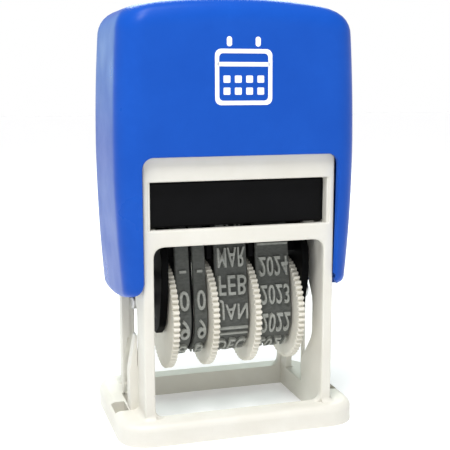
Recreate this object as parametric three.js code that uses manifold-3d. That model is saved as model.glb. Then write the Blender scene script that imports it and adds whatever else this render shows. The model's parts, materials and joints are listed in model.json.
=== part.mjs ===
// Self-inking date stamp: a spring-loaded cap drives a carriage of date bands through half a turn,
// from the ink pad above it down to the paper below it.
// Millimetres. +X to the right, -Y to the front, +Z up; origin at the centre of the base's underside.
import * as THREE from "three";
import { mergeVertices } from "three/addons/utils/BufferGeometryUtils.js";
import Module from "manifold-3d";

// ---- driving dimensions -------------------------------------------------------------------------

const FLANGE = { halfX: 22.6, halfY: 15.41, top: 3.9, corner: 6.5, edge: 1.3 };
const TOWER = { halfX: 17.9, halfY: 12.34, top: 57, wall: 1.4, panel: 1.5, corner: 0.8 };
const WINDOW = { halfX: 16, bottom: 3.93, top: 35.2, corner: 2.1 };
const PAD_SLOT = { halfX: 16.89, bottom: 38.2, top: 46.63 };
const DECK = { bottom: 46.9, top: 48.9 };
const RAIL = { inner: 15.3, bottom: 36.6, top: 38.1 };
// Beside each cam slot: a pocket sunk in the flange, a buttress in front and a rib behind it.
const POCKET = { floor: 1.2, outer: [19.7, 22.2, -6.2, -1.2], inner: [17.9, 19.3, -4.8, 3.4] };
const BUTTRESS = { front: -6.1, rear: -3.7, reach: 19.5, level: 11.5, rootTop: 12.2 };
const BUTTRESS_HORN = { inner: 17.95, outer: 18.1, top: 18 }; // its upper end, clear of the cam pin
const RIB = { front: 3.4, rear: 4.6, reach: 19, leg: 18.5, legTop: 12, root: 15, top: 45 };

const CAP = { halfY: 13.8, bottom: 24.1, top: 78.3, side: 1.5, face: 1.15, ceiling: 76.8 };
const CAP_WIDTH = { bottom: 21.3, bulge: 23.07, shoulder: 21.75, crown: 17.2, foot: 1.8 };
const CAP_HEIGHTS = { bulge: 49, shoulder: 72.5, crownDrop: 1.3 };
const CAP_SIDE = { frontLift: 3, rearRound: 4, level: 7, draft: 0.4, topRound: 4.5 };
const CAP_CORNER = { halfX: 22.4, round: 5.2 };
const CAP_MOUTH = { halfX: 18.1, top: 51, corner: 2 };
const BOSS = { radius: 2.7, gap: 0.4, outer: 21, holeEnd: 20.8, play: 0.1 }; // the cap's pivot bosses

const PRESS_TRAVEL = 16.3; // cap travel from rest to the paper
const PIVOT_Z = 27.2; // carriage pivot at rest; the type face stands as far above it as it ends below
const TYPE_FACE = PIVOT_Z - PRESS_TRAVEL; // pivot to type face
const CAM_DROP = 4.2; // cam pin below the pivot at rest
const PIN_RADIUS = 1.5;
const CAM_STEM_RADIUS = 0.9;
const SLOT_TOP = PIVOT_Z + PIN_RADIUS + 0.5;
// The cam slot's corners [y, z, rounding]: a foot open to the rear, where the pins snap in, a bulge to
// the front, where the cam pin swings round the pivot, and a straight run up to the pivot's stop.
const CAM_SLOT = [
  [-0.6, 4.2, 0.3],
  [8.2, 4.2, 0.3],
  [7.2, 11, 1],
  [3.7, 14.6, 1.5],
  [3.3, SLOT_TOP, 1.5],
  [-3.6, SLOT_TOP, 1.5],
  [-3.6, 26, 1],
  [-5.9, 22.5, 1.5],
  [-5.9, 15.2, 1.5],
  [-0.6, 8.8, 1],
];

const WHEEL = { z: 20, radius: 10.2, root: 9.55, teeth: 60, thickness: 1.25, hub: 5.9 };
const AXLE_RADIUS = 1;
const BORE_PLAY = 0.15;

const BAND = { base: 0.9, type: 0.65, inner: 6.2, blocks: 12 };
const PLATEN = { halfY: 3.3, bottom: 31.6, corner: 1.3, play: 0.1 };
const PLATEN_TOP = PIVOT_Z + TYPE_FACE - BAND.type - BAND.base - PLATEN.play;

// Stations along the wheel axle, left to right: each date wheel's disc and the band on its hub.
const DATES = [
  { name: "day_tens", disc: -12.05, band: [-10.55, -7.85], hubEnd: -7.8 },
  { name: "day_units", disc: -4.5, band: [-7.2, -4.75], hubEnd: -7.25 },
  { name: "month", disc: 3.65, band: [-2.9, 3.35], hubEnd: -3.05 },
  { name: "year", disc: 12.15, band: [5.2, 11.85], hubEnd: 5.05 },
];
const CHEEKS = { left: [-13.7, -12.35], right: [13.55, 14.9] };
// Half the cheek's outline, [y, z, rounding] from its foot to its top.
const CHEEK_HALF = [
  [2.7, 17.1, 0.4],
  [5.6, 19.3, 0.8],
  [8, PIVOT_Z, 1.5],
  [8, 32.6, 1.5],
  [4.2, 37.3, 1.2],
];
const DIVIDER = [-7.7, -7.35]; // plate between the two day bands
const COMB = { halfY: 5, bottom: 31, top: 37.4, topHalfY: 4.5 }; // fins that keep the bands apart
const COMB_FINS = [
  [-4.4, -3.35],
  [3.75, 4.8],
];

const TRAY = { halfX: 16.6, halfY: 10.5, bottom: 38.4, top: 46.4 };
const PAD = { halfX: 14.1, halfY: 8.7, thickness: 3.7, gap: 0.3 };

const SPRING = { radius: 4.5, wire: 0.45, turns: 7.5, bottom: 49.55, top: 76.15 };
const GUIDE = { radius: 3.3, deckTop: 54, capBottom: 72 };
const ROOT = 0.5; // how deep a moulded-on piece starts inside its wall

// ---- materials ----------------------------------------------------------------------------------

const plastic = (color, roughness) => new THREE.MeshStandardMaterial({ color, roughness, metalness: 0 });
const white = plastic(0xf3f2ec, 0.42);
const blue = plastic(0x2a62cf, 0.3);
const black = plastic(0x17171a, 0.45);
const ivory = plastic(0xe9e6dc, 0.5);
const rubber = plastic(0x55585a, 0.8);
const felt = plastic(0x0d0d12, 0.95);
const steel = new THREE.MeshStandardMaterial({ color: 0xb9bcc0, roughness: 0.3, metalness: 1 });

// ---- solids -------------------------------------------------------------------------------------

const wasm = await Module();
wasm.setup();
const X = new THREE.Vector3(1, 0, 0);
const Y = new THREE.Vector3(0, 1, 0);
const Z = new THREE.Vector3(0, 0, 1);

function solid(geometry) {
  const bare = geometry.clone();
  bare.deleteAttribute("normal");
  bare.deleteAttribute("uv");
  const merged = mergeVertices(bare, 1e-4);
  return new wasm.Manifold(
    new wasm.Mesh({
      numProp: 3,
      vertProperties: merged.attributes.position.array,
      triVerts: new Uint32Array(merged.index.array),
    }),
  );
}

function meshOf(name, made, material) {
  const { vertProperties, triVerts } = made.getMesh();
  const geometry = new THREE.BufferGeometry();
  geometry.setAttribute("position", new THREE.BufferAttribute(vertProperties, 3));
  geometry.setIndex(new THREE.BufferAttribute(triVerts, 1));
  geometry.computeVertexNormals();
  const mesh = new THREE.Mesh(geometry, material);
  mesh.name = name;
  return mesh;
}

// A shape drawn in (y, z), extruded along X from x0 to x1.
function prismX(shape, x0, x1, curveSegments = 6) {
  const geometry = new THREE.ExtrudeGeometry(shape, { depth: x1 - x0, bevelEnabled: false, curveSegments });
  geometry.applyMatrix4(new THREE.Matrix4().makeBasis(Y, Z, X));
  return solid(geometry.translate(x0, 0, 0));
}

// A shape drawn in (x, z), extruded along Y from y0 to y1.
function prismY(shape, y0, y1, curveSegments = 6) {
  const geometry = new THREE.ExtrudeGeometry(shape, { depth: y1 - y0, bevelEnabled: false, curveSegments });
  geometry.applyMatrix4(new THREE.Matrix4().makeBasis(X, Z, Y.clone().negate()));
  return solid(geometry.translate(0, y1, 0));
}

// A shape drawn in (x, y), extruded along Z from z0 to z1.
function prismZ(shape, z0, z1, curveSegments = 6) {
  const geometry = new THREE.ExtrudeGeometry(shape, { depth: z1 - z0, bevelEnabled: false, curveSegments });
  return solid(geometry.translate(0, 0, z0));
}

function box([x0, y0, z0], [x1, y1, z1]) {
  const geometry = new THREE.BoxGeometry(x1 - x0, y1 - y0, z1 - z0);
  return solid(geometry.translate((x0 + x1) / 2, (y0 + y1) / 2, (z0 + z1) / 2));
}

// A round bar along X, centred on (y, z).
function barX(radius, y, z, x0, x1, sides = 32) {
  const geometry = new THREE.CylinderGeometry(radius, radius, x1 - x0, sides).rotateZ(Math.PI / 2);
  return solid(geometry.translate((x0 + x1) / 2, y, z));
}

function barZ(radius, x, y, z0, z1, sides = 32) {
  const geometry = new THREE.CylinderGeometry(radius, radius, z1 - z0, sides).rotateX(Math.PI / 2);
  return solid(geometry.translate(x, y, (z0 + z1) / 2));
}

// ---- outlines -----------------------------------------------------------------------------------

// A closed outline through corners [u, v, rounding], each rounded by a curve of that reach.
function outline(corners) {
  const shape = new THREE.Shape();
  corners.forEach(([u, v, round = 0], i) => {
    const here = new THREE.Vector2(u, v);
    const towards = (other) => {
      const step = new THREE.Vector2(other[0], other[1]).sub(here).setLength(round);
      return here.clone().add(step);
    };
    const start = towards(corners[(i + corners.length - 1) % corners.length]);
    const end = towards(corners[(i + 1) % corners.length]);
    if (i === 0) shape.moveTo(start.x, start.y);
    else shape.lineTo(start.x, start.y);
    if (round > 0) shape.quadraticCurveTo(u, v, end.x, end.y);
  });
  shape.closePath();
  return shape;
}

function rectangle(halfU, v0, v1, round = 0) {
  return outline([
    [-halfU, v0, round],
    [halfU, v0, round],
    [halfU, v1, round],
    [-halfU, v1, round],
  ]);
}

// The corners of one half, given from bottom to top, and their mirror image in the other half.
function mirrored(half) {
  const other = half.map(([u, v, round]) => [-u, v, round]).reverse();
  return outline([...half, ...other]);
}

// The path of a band around the hub and over the platen, `out` beyond the platen's own surface:
// a big circle on the wheel axis and two small ones at the platen's corners, joined by tangents.
const BELT = {
  rise: PLATEN_TOP - PLATEN.corner - WHEEL.z,
  reach: PLATEN.halfY - PLATEN.corner,
  big: BAND.inner - PLATEN.play,
};
const BELT_SPAN = Math.hypot(BELT.reach, BELT.rise); // from the wheel axis to a platen corner
const BELT_TILT =
  Math.asin((BELT.big - PLATEN.corner) / BELT_SPAN) - Math.atan2(BELT.reach, BELT.rise);

function beltCurve(out) {
  const { rise, reach, big } = BELT;
  const small = PLATEN.corner + out;
  const path = new THREE.Shape();
  path.absarc(reach, rise + WHEEL.z, small, BELT_TILT, Math.PI / 2, false);
  path.absarc(-reach, rise + WHEEL.z, small, Math.PI / 2, Math.PI - BELT_TILT, false);
  path.absarc(0, WHEEL.z, big + out, Math.PI - BELT_TILT, 2 * Math.PI + BELT_TILT, false);
  path.closePath();
  return path;
}

function toothedWheel() {
  const shape = new THREE.Shape();
  const pitch = (2 * Math.PI) / WHEEL.teeth;
  const profile = [
    [0.05, WHEEL.root],
    [0.3, WHEEL.radius],
    [0.65, WHEEL.radius],
    [0.9, WHEEL.root],
  ];
  for (let tooth = 0; tooth < WHEEL.teeth; tooth += 1) {
    profile.forEach(([share, radius], i) => {
      const angle = (tooth + share) * pitch;
      const point = [radius * Math.cos(angle), WHEEL.z + radius * Math.sin(angle)];
      if (tooth === 0 && i === 0) shape.moveTo(...point);
      else shape.lineTo(...point);
    });
  }
  shape.closePath();
  return shape;
}

// ---- frame --------------------------------------------------------------------------------------

function flange() {
  const { halfX, halfY, top, corner, edge } = FLANGE;
  const geometry = new THREE.ExtrudeGeometry(rectangle(halfX, -halfY, halfY, corner), {
    depth: top,
    bevelThickness: edge,
    bevelSize: edge,
    bevelOffset: -edge,
    bevelSegments: 3,
    curveSegments: 8,
  });
  const below = box([-halfX - 1, -halfY - 1, -10], [halfX + 1, halfY + 1, 0]);
  return solid(geometry.translate(0, 0, -edge)).subtract(below);
}

// The pocket, buttress and rib beside the right slot; the left side has their mirror images.
function slotPocket() {
  const parts = [POCKET.outer, POCKET.inner].map(([x0, x1, y0, y1]) =>
    box([x0, y0, POCKET.floor], [x1, y1, FLANGE.top + 1]),
  );
  return parts[0].add(parts[1]);
}

function slotButtress() {
  const { front, rear, reach, level, rootTop } = BUTTRESS;
  const root = TOWER.halfX - ROOT;
  const profile = outline([
    [root, FLANGE.top - ROOT],
    [reach, FLANGE.top - ROOT],
    [reach, level],
    [BUTTRESS_HORN.outer, BUTTRESS_HORN.top],
    [BUTTRESS_HORN.inner, BUTTRESS_HORN.top],
    [BUTTRESS_HORN.inner, rootTop],
    [root, rootTop],
  ]);
  return prismY(profile, front, rear);
}

function slotRib() {
  const { front, rear, reach, leg, legTop, root, top } = RIB;
  const inside = TOWER.halfX - ROOT;
  const profile = outline([
    [leg, FLANGE.top - ROOT],
    [reach, FLANGE.top - ROOT],
    [reach, top],
    [inside, top],
    [inside, root],
    [TOWER.halfX, root],
    [leg, legTop],
  ]);
  return prismY(profile, front, rear);
}

function baseFrame() {
  const { halfX, halfY, top, wall, panel, corner } = TOWER;
  const insideX = halfX - wall;
  const insideY = halfY - panel;
  const tower = prismZ(rectangle(halfX, -halfY, halfY, corner), 0, top, 3);
  const chamber = box([-insideX, -insideY, -1], [insideX, insideY, DECK.bottom]);
  const tray = box([-insideX, -insideY, DECK.top], [insideX, insideY, top + 1]);
  const windowOutline = rectangle(WINDOW.halfX, WINDOW.bottom, WINDOW.top, WINDOW.corner);
  const windows = prismY(windowOutline, -halfY - 1, halfY + 1);
  const padSlot = prismY(rectangle(PAD_SLOT.halfX, PAD_SLOT.bottom, PAD_SLOT.top), -halfY - 1, halfY + 1);
  const slots = prismX(outline(CAM_SLOT), -halfX - 1, halfX + 1);
  let frame = flange().add(tower).subtract(chamber).subtract(tray).subtract(windows);
  frame = frame.subtract(padSlot).subtract(slots);
  frame = frame.subtract(slotPocket()).subtract(slotPocket().mirror([1, 0, 0]));
  for (const made of [slotButtress(), slotRib()]) frame = frame.add(made).add(made.mirror([1, 0, 0]));
  for (const side of [-1, 1]) {
    const x = [side * RAIL.inner, side * (insideX + ROOT)].sort((a, b) => a - b);
    frame = frame.add(box([x[0], -insideY - ROOT, RAIL.bottom], [x[1], insideY + ROOT, RAIL.top]));
  }
  return frame.add(barZ(GUIDE.radius, 0, 0, DECK.top - ROOT, GUIDE.deckTop, 24));
}

// ---- cap ----------------------------------------------------------------------------------------

// The cap from the front, drawn `inset` inside its outer surface, down to `bottom`.
function capFront(inset, bottom) {
  const width = { bottom: CAP_WIDTH.bottom - inset, bulge: CAP_WIDTH.bulge - inset };
  const shoulder = [CAP_WIDTH.shoulder - inset, CAP_HEIGHTS.shoulder - inset / 2];
  const foot = inset > 0 ? 0.5 : CAP_WIDTH.foot;
  const top = CAP.top - inset;
  const crownEnd = top - CAP_HEIGHTS.crownDrop;
  const right = [
    [width.bottom, bottom, width.bottom, bottom + foot],
    [width.bulge, CAP_HEIGHTS.bulge, ...shoulder],
    [shoulder[0], crownEnd, CAP_WIDTH.crown, crownEnd],
  ];
  const shape = new THREE.Shape();
  shape.moveTo(-width.bottom + foot, bottom);
  shape.lineTo(width.bottom - foot, bottom);
  for (const curve of right) shape.quadraticCurveTo(...curve);
  shape.quadraticCurveTo(0, top + CAP_HEIGHTS.crownDrop, -CAP_WIDTH.crown, crownEnd);
  shape.quadraticCurveTo(-shoulder[0], crownEnd, -shoulder[0], shoulder[1]);
  shape.quadraticCurveTo(-width.bulge, CAP_HEIGHTS.bulge, -width.bottom, bottom + foot);
  shape.quadraticCurveTo(-width.bottom, bottom, -width.bottom + foot, bottom);
  return shape;
}

// The cap from its side, in (y, z): the lower edge is level at the rear and sweeps up to the front.
function capSide() {
  const { halfY, bottom, top } = CAP;
  const { frontLift, rearRound, level, draft, topRound } = CAP_SIDE;
  const shape = new THREE.Shape();
  shape.moveTo(level, bottom);
  shape.lineTo(halfY - rearRound, bottom);
  shape.quadraticCurveTo(halfY, bottom, halfY, bottom + rearRound);
  shape.lineTo(halfY, CAP_MOUTH.top);
  shape.lineTo(halfY - draft, top - topRound);
  shape.quadraticCurveTo(halfY - draft, top, halfY - draft - topRound, top);
  shape.lineTo(-halfY + draft + topRound, top);
  shape.quadraticCurveTo(-halfY + draft, top, -halfY + draft, top - topRound);
  shape.lineTo(-halfY, CAP_MOUTH.top);
  shape.lineTo(-halfY, bottom + frontLift);
  shape.quadraticCurveTo((level - halfY) / 2, bottom, level, bottom);
  return shape;
}

function capShell() {
  const { halfY, bottom, face, side, ceiling } = CAP;
  const plan = rectangle(CAP_CORNER.halfX, -halfY - 0.1, halfY + 0.1, CAP_CORNER.round);
  const outer = prismY(capFront(0, bottom), -halfY - 1, halfY + 1, 10)
    .intersect(prismX(capSide(), -25, 25, 8))
    .intersect(prismZ(plan, 0, CAP.top + 10, 8));
  const insideY = halfY - face;
  const hollow = prismY(capFront(side, 10), -insideY, insideY, 8)
    .intersect(prismX(rectangle(insideY, 0, ceiling, 2.5), -25, 25, 4))
    .intersect(prismZ(rectangle(CAP_CORNER.halfX - side, -insideY, insideY, CAP_CORNER.round), 0, 90, 8));
  const mouthOutline = rectangle(CAP_MOUTH.halfX, 0, CAP_MOUTH.top, CAP_MOUTH.corner);
  let cap = outer.subtract(hollow).subtract(prismY(mouthOutline, -halfY - 1, halfY + 1, 5));
  for (const sign of [-1, 1]) {
    const x = [sign * (TOWER.halfX + BOSS.gap), sign * BOSS.outer].sort((a, b) => a - b);
    cap = cap.add(barX(BOSS.radius, 0, PIVOT_Z, x[0], x[1], 24));
    const hole = [sign * TOWER.halfX, sign * BOSS.holeEnd].sort((a, b) => a - b);
    cap = cap.subtract(barX(PIN_RADIUS + BOSS.play, 0, PIVOT_Z, hole[0], hole[1], 24));
  }
  return cap.add(barZ(GUIDE.radius, 0, 0, GUIDE.capBottom, ceiling + ROOT, 24));
}

// ---- return spring ------------------------------------------------------------------------------

class Helix extends THREE.Curve {
  getPoint(t) {
    const angle = 2 * Math.PI * SPRING.turns * t;
    const z = SPRING.bottom + (SPRING.top - SPRING.bottom) * t;
    return new THREE.Vector3(SPRING.radius * Math.cos(angle), SPRING.radius * Math.sin(angle), z);
  }
}

function returnSpring() {
  const section = new THREE.Shape().absarc(0, 0, SPRING.wire, 0, 2 * Math.PI, false);
  const steps = Math.round(14 * SPRING.turns);
  const path = { steps, curveSegments: 4, extrudePath: new Helix() };
  return solid(new THREE.ExtrudeGeometry(section, path));
}

// ---- ink cartridge ------------------------------------------------------------------------------

function inkTray() {
  const { halfX, halfY, bottom, top } = TRAY;
  const block = prismZ(rectangle(halfX, -halfY, halfY, 0.6), bottom, top, 2);
  const pocket = box(
    [-PAD.halfX - PAD.gap, -PAD.halfY - PAD.gap, bottom - 1],
    [PAD.halfX + PAD.gap, PAD.halfY + PAD.gap, bottom + PAD.thickness + PAD.gap],
  );
  return block.subtract(pocket);
}

function inkPad() {
  const outlineOfPad = rectangle(PAD.halfX, -PAD.halfY, PAD.halfY, 0.8);
  return prismZ(outlineOfPad, TRAY.bottom, TRAY.bottom + PAD.thickness, 3);
}

// ---- carriage -----------------------------------------------------------------------------------

function platenSection(grow) {
  const { halfY, bottom, corner } = PLATEN;
  return outline([
    [-halfY - grow, bottom - grow, 0.3],
    [halfY + grow, bottom - grow, 0.3],
    [halfY + grow, PLATEN_TOP + grow, corner],
    [-halfY - grow, PLATEN_TOP + grow, corner],
  ]);
}

function cheek([x0, x1]) {
  const bores = [
    barX(PIN_RADIUS + BORE_PLAY, 0, PIVOT_Z, x0 - 1, x1 + 1, 24),
    barX(AXLE_RADIUS + BORE_PLAY, 0, WHEEL.z, x0 - 1, x1 + 1, 20),
    barX(CAM_STEM_RADIUS + BORE_PLAY, 0, PIVOT_Z - CAM_DROP, x0 - 1, x1 + 1, 16),
    prismX(platenSection(BORE_PLAY), x0 - 1, x1 + 1, 3),
  ];
  const plate = prismX(mirrored(CHEEK_HALF), x0, x1, 4);
  return bores.reduce((made, bore) => made.subtract(bore), plate);
}

// The follower pin beside a cheek: a thin stem in the cheek, a full-size head in the cam slot.
function camPin([x0, x1], sign) {
  const inner = sign > 0 ? x0 : x1;
  const shoulder = x1 - x0 + 0.15;
  const tip = TOWER.halfX - 0.2 - Math.abs(inner);
  const profile = [
    [0, 0.1],
    [CAM_STEM_RADIUS, 0.1],
    [CAM_STEM_RADIUS, shoulder],
    [PIN_RADIUS, shoulder],
    [PIN_RADIUS, tip],
    [0, tip],
  ].map(([radius, along]) => new THREE.Vector2(radius, along));
  const geometry = new THREE.LatheGeometry(profile, 24).rotateZ((-sign * Math.PI) / 2);
  return solid(geometry.translate(inner, 0, PIVOT_Z - CAM_DROP));
}

function pivotPin(sign) {
  const inner = sign > 0 ? CHEEKS.right[0] : -CHEEKS.left[1];
  const x = [sign * (inner + 0.1), sign * (BOSS.holeEnd - 0.2)].sort((a, b) => a - b);
  return barX(PIN_RADIUS, 0, PIVOT_Z, x[0], x[1], 24);
}

function platenBridge() {
  const ends = [CHEEKS.left[0] + 0.2, CHEEKS.right[1] - 0.2];
  let bridge = prismX(platenSection(0), ends[0], ends[1], 3);
  const fin = mirrored([
    [COMB.halfY, COMB.bottom, 0.4],
    [COMB.topHalfY, COMB.top, 1.6],
  ]);
  for (const [x0, x1] of COMB_FINS) bridge = bridge.add(prismX(fin, x0, x1, 3));
  return bridge;
}

function dayDivider() {
  const [x0, x1] = DIVIDER;
  const tip = outline([
    [-4, WHEEL.z],
    [0, 11.9, 0.5],
    [4, WHEEL.z],
  ]);
  return prismX(beltCurve(PLATEN.play + 0.5), x0, x1, 5)
    .add(prismX(tip, x0, x1))
    .subtract(prismX(platenSection(BORE_PLAY), x0 - 1, x1 + 1, 3))
    .subtract(barX(AXLE_RADIUS + BORE_PLAY, 0, WHEEL.z, x0 - 1, x1 + 1, 20));
}

function dateWheel({ disc, hubEnd }) {
  const plate = prismX(toothedWheel(), disc, disc + WHEEL.thickness);
  const hubFrom = Math.min(hubEnd, disc + 0.5);
  const hubTo = Math.max(hubEnd, disc + 0.5);
  return plate
    .add(barX(WHEEL.hub, 0, WHEEL.z, hubFrom, hubTo, 36))
    .subtract(barX(AXLE_RADIUS + BORE_PLAY, 0, WHEEL.z, -20, 20, 20));
}

// A rubber loop with a raised type block for each date character, one of them on the platen.
function dateBand({ band: [x0, x1] }) {
  const inside = prismX(beltCurve(PLATEN.play), x0 - 1, x1 + 1, 8);
  let made = prismX(beltCurve(PLATEN.play + BAND.base), x0, x1, 8).subtract(inside);
  const surface = beltCurve(PLATEN.play + BAND.base);
  const length = surface.getLength();
  const corner = (PLATEN.corner + PLATEN.play + BAND.base) * (Math.PI / 2 - BELT_TILT);
  const onPlaten = corner + BELT.reach;
  for (let block = 0; block < BAND.blocks; block += 1) {
    const at = ((onPlaten + (block * length) / BAND.blocks) % length) / length;
    const point = surface.getPointAt(at);
    const tangent = surface.getTangentAt(at);
    const inward = 0.35;
    const geometry = new THREE.BoxGeometry(x1 - x0 - 0.5, 3.6, BAND.type + inward);
    geometry.translate(0, 0, (BAND.type - inward) / 2);
    geometry.rotateX(Math.atan2(tangent.y, tangent.x) + Math.PI);
    made = made.add(solid(geometry.translate((x0 + x1) / 2, point.x, point.y)));
  }
  return made;
}

// ---- assembly -----------------------------------------------------------------------------------

const frame = new THREE.Group();
frame.add(meshOf("base_frame", baseFrame(), white));
frame.add(meshOf("return_spring", returnSpring(), steel));

const cap = new THREE.Group();
cap.add(meshOf("cap_shell", capShell(), blue));
cap.add(meshOf("pivot_pin_left", pivotPin(-1), steel));
cap.add(meshOf("pivot_pin_right", pivotPin(1), steel));

const cartridge = new THREE.Group();
cartridge.add(meshOf("ink_tray", inkTray(), black));
cartridge.add(meshOf("ink_pad", inkPad(), felt));

const carriage = new THREE.Group();
carriage.add(meshOf("cheek_left", cheek(CHEEKS.left), black));
carriage.add(meshOf("cheek_right", cheek(CHEEKS.right), black));
carriage.add(meshOf("cam_pin_left", camPin(CHEEKS.left, -1), steel));
carriage.add(meshOf("cam_pin_right", camPin(CHEEKS.right, 1), steel));
carriage.add(meshOf("platen_bridge", platenBridge(), black));
carriage.add(meshOf("day_divider", dayDivider(), black));
const axleEnds = [CHEEKS.left[0] + 0.1, CHEEKS.right[1] - 0.1];
carriage.add(meshOf("wheel_axle", barX(AXLE_RADIUS, 0, WHEEL.z, axleEnds[0], axleEnds[1], 20), steel));
for (const date of DATES) {
  carriage.add(meshOf(`${date.name}_wheel`, dateWheel(date), ivory));
  carriage.add(meshOf(`${date.name}_band`, dateBand(date), rubber));
}

const group = new THREE.Group();
group.add(frame, cap, cartridge, carriage);

export default group;
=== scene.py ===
import json
import math

import bmesh
import bpy
from mathutils import Euler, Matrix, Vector

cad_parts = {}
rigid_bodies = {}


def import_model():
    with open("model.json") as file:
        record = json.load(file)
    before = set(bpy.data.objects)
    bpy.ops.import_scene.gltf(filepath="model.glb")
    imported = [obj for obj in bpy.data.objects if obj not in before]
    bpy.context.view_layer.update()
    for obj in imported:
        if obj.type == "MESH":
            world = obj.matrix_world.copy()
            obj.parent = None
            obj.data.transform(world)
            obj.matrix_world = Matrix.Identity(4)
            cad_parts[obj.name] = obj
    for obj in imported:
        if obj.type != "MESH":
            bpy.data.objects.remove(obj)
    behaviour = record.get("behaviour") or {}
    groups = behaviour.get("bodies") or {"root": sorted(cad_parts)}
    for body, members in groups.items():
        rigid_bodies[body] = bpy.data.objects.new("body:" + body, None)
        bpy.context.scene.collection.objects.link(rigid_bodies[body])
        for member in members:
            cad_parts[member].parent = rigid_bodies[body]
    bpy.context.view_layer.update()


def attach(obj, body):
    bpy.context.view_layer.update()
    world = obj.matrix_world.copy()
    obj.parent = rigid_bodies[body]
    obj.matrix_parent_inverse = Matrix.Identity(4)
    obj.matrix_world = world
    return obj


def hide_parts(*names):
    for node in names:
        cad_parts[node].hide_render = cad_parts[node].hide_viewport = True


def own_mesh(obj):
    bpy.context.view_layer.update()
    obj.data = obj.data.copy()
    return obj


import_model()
scene = bpy.context.scene

MM = 0.001

# ---- dimensions shared with the frame ----

CAP_TOP = 78.3
CAP_WALL = 1.25
CAP_CORNER = 4.6
CAP_DEPTH = 13.7  # half the cap's depth up to the mouth's top; it narrows by CAP_DRAFT above that
CAP_DRAFT = 0.4
CAP_INSIDE_DEPTH = 12.65  # half the depth of the room inside
CAP_EDGE = 0.25  # the wall's least thickness
CAP_FLANK = {"low": 26.1, "high": 72.5, "low_half": 21.35, "bulge_half": 23.07, "high_half": 21.75}
CAP_CROWN = {"half": 17.2, "drop": 1.3}  # how much lower the top is at `half` than in the middle
CAP_SHOULDER = 4.5  # reach of the rounding between the walls and the top
MOUTH = {"half": 18.1, "top": 51.0, "corner": 2.0}
FOOT = {
    "z": 24.1, "lift": 3.0, "level_y": 7.0, "rear": 4.6, "curl": 1.0, "curl_height": 1.8,
    "inner": 0.9, "inner_reach": 1.2,  # the extra lift beside the mouth and how far it reaches
}

WHEEL_Z = 20.0
PIVOT_Z = 27.2
BELT = {"hub": 7.1, "corner": 2.3, "corner_y": 2.0, "corner_z": 35.15, "thickness": 0.9}
BANDS = {  # x0, x1
    "day_tens_band": (-10.55, -7.85),
    "day_units_band": (-7.2, -4.75),
    "month_band": (-2.9, 3.35),
    "year_band": (5.2, 11.85),
}
TYPE = {
    "height": 0.6, "tall": 3.8, "stretch": 1.15, "draft": 0.03,
    "sunk": 0.1,  # how deep its foot reaches into the band
}
SPRING = {
    "radius": 4.5, "wire": 0.45, "turns": 7.5, "bottom": 49.55, "top": 76.15,
    "close": 0.055,  # how much closer its end turns lie
    "keep": 0.412,  # pressed length over free length
}
DECK_TOP = 48.9


# ---- camera ----

# Fitted to the photograph: place in millimetres, angles in degrees.
CAMERA = {"place": (-49.14, -163.34, 64.02), "pitch": -9.11, "yaw": -16.97, "lens": 72.1, "sensor": 36}


def add_camera():
    data = bpy.data.cameras.new("camera")
    data.lens = CAMERA["lens"]
    data.sensor_width = CAMERA["sensor"]
    data.clip_start = 0.01
    camera = bpy.data.objects.new("camera", data)
    camera.location = Vector(CAMERA["place"]) * MM
    pitch, yaw = math.radians(CAMERA["pitch"]), math.radians(CAMERA["yaw"])
    camera.rotation_euler = Euler((math.pi / 2 + pitch, 0, yaw))
    scene.collection.objects.link(camera)
    scene.camera = camera


add_camera()


# ---- materials ----

def srgb(red, green, blue):
    def linear(value):
        value /= 255
        return value / 12.92 if value <= 0.04045 else ((value + 0.055) / 1.055) ** 2.4

    return (linear(red), linear(green), linear(blue), 1)


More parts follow.
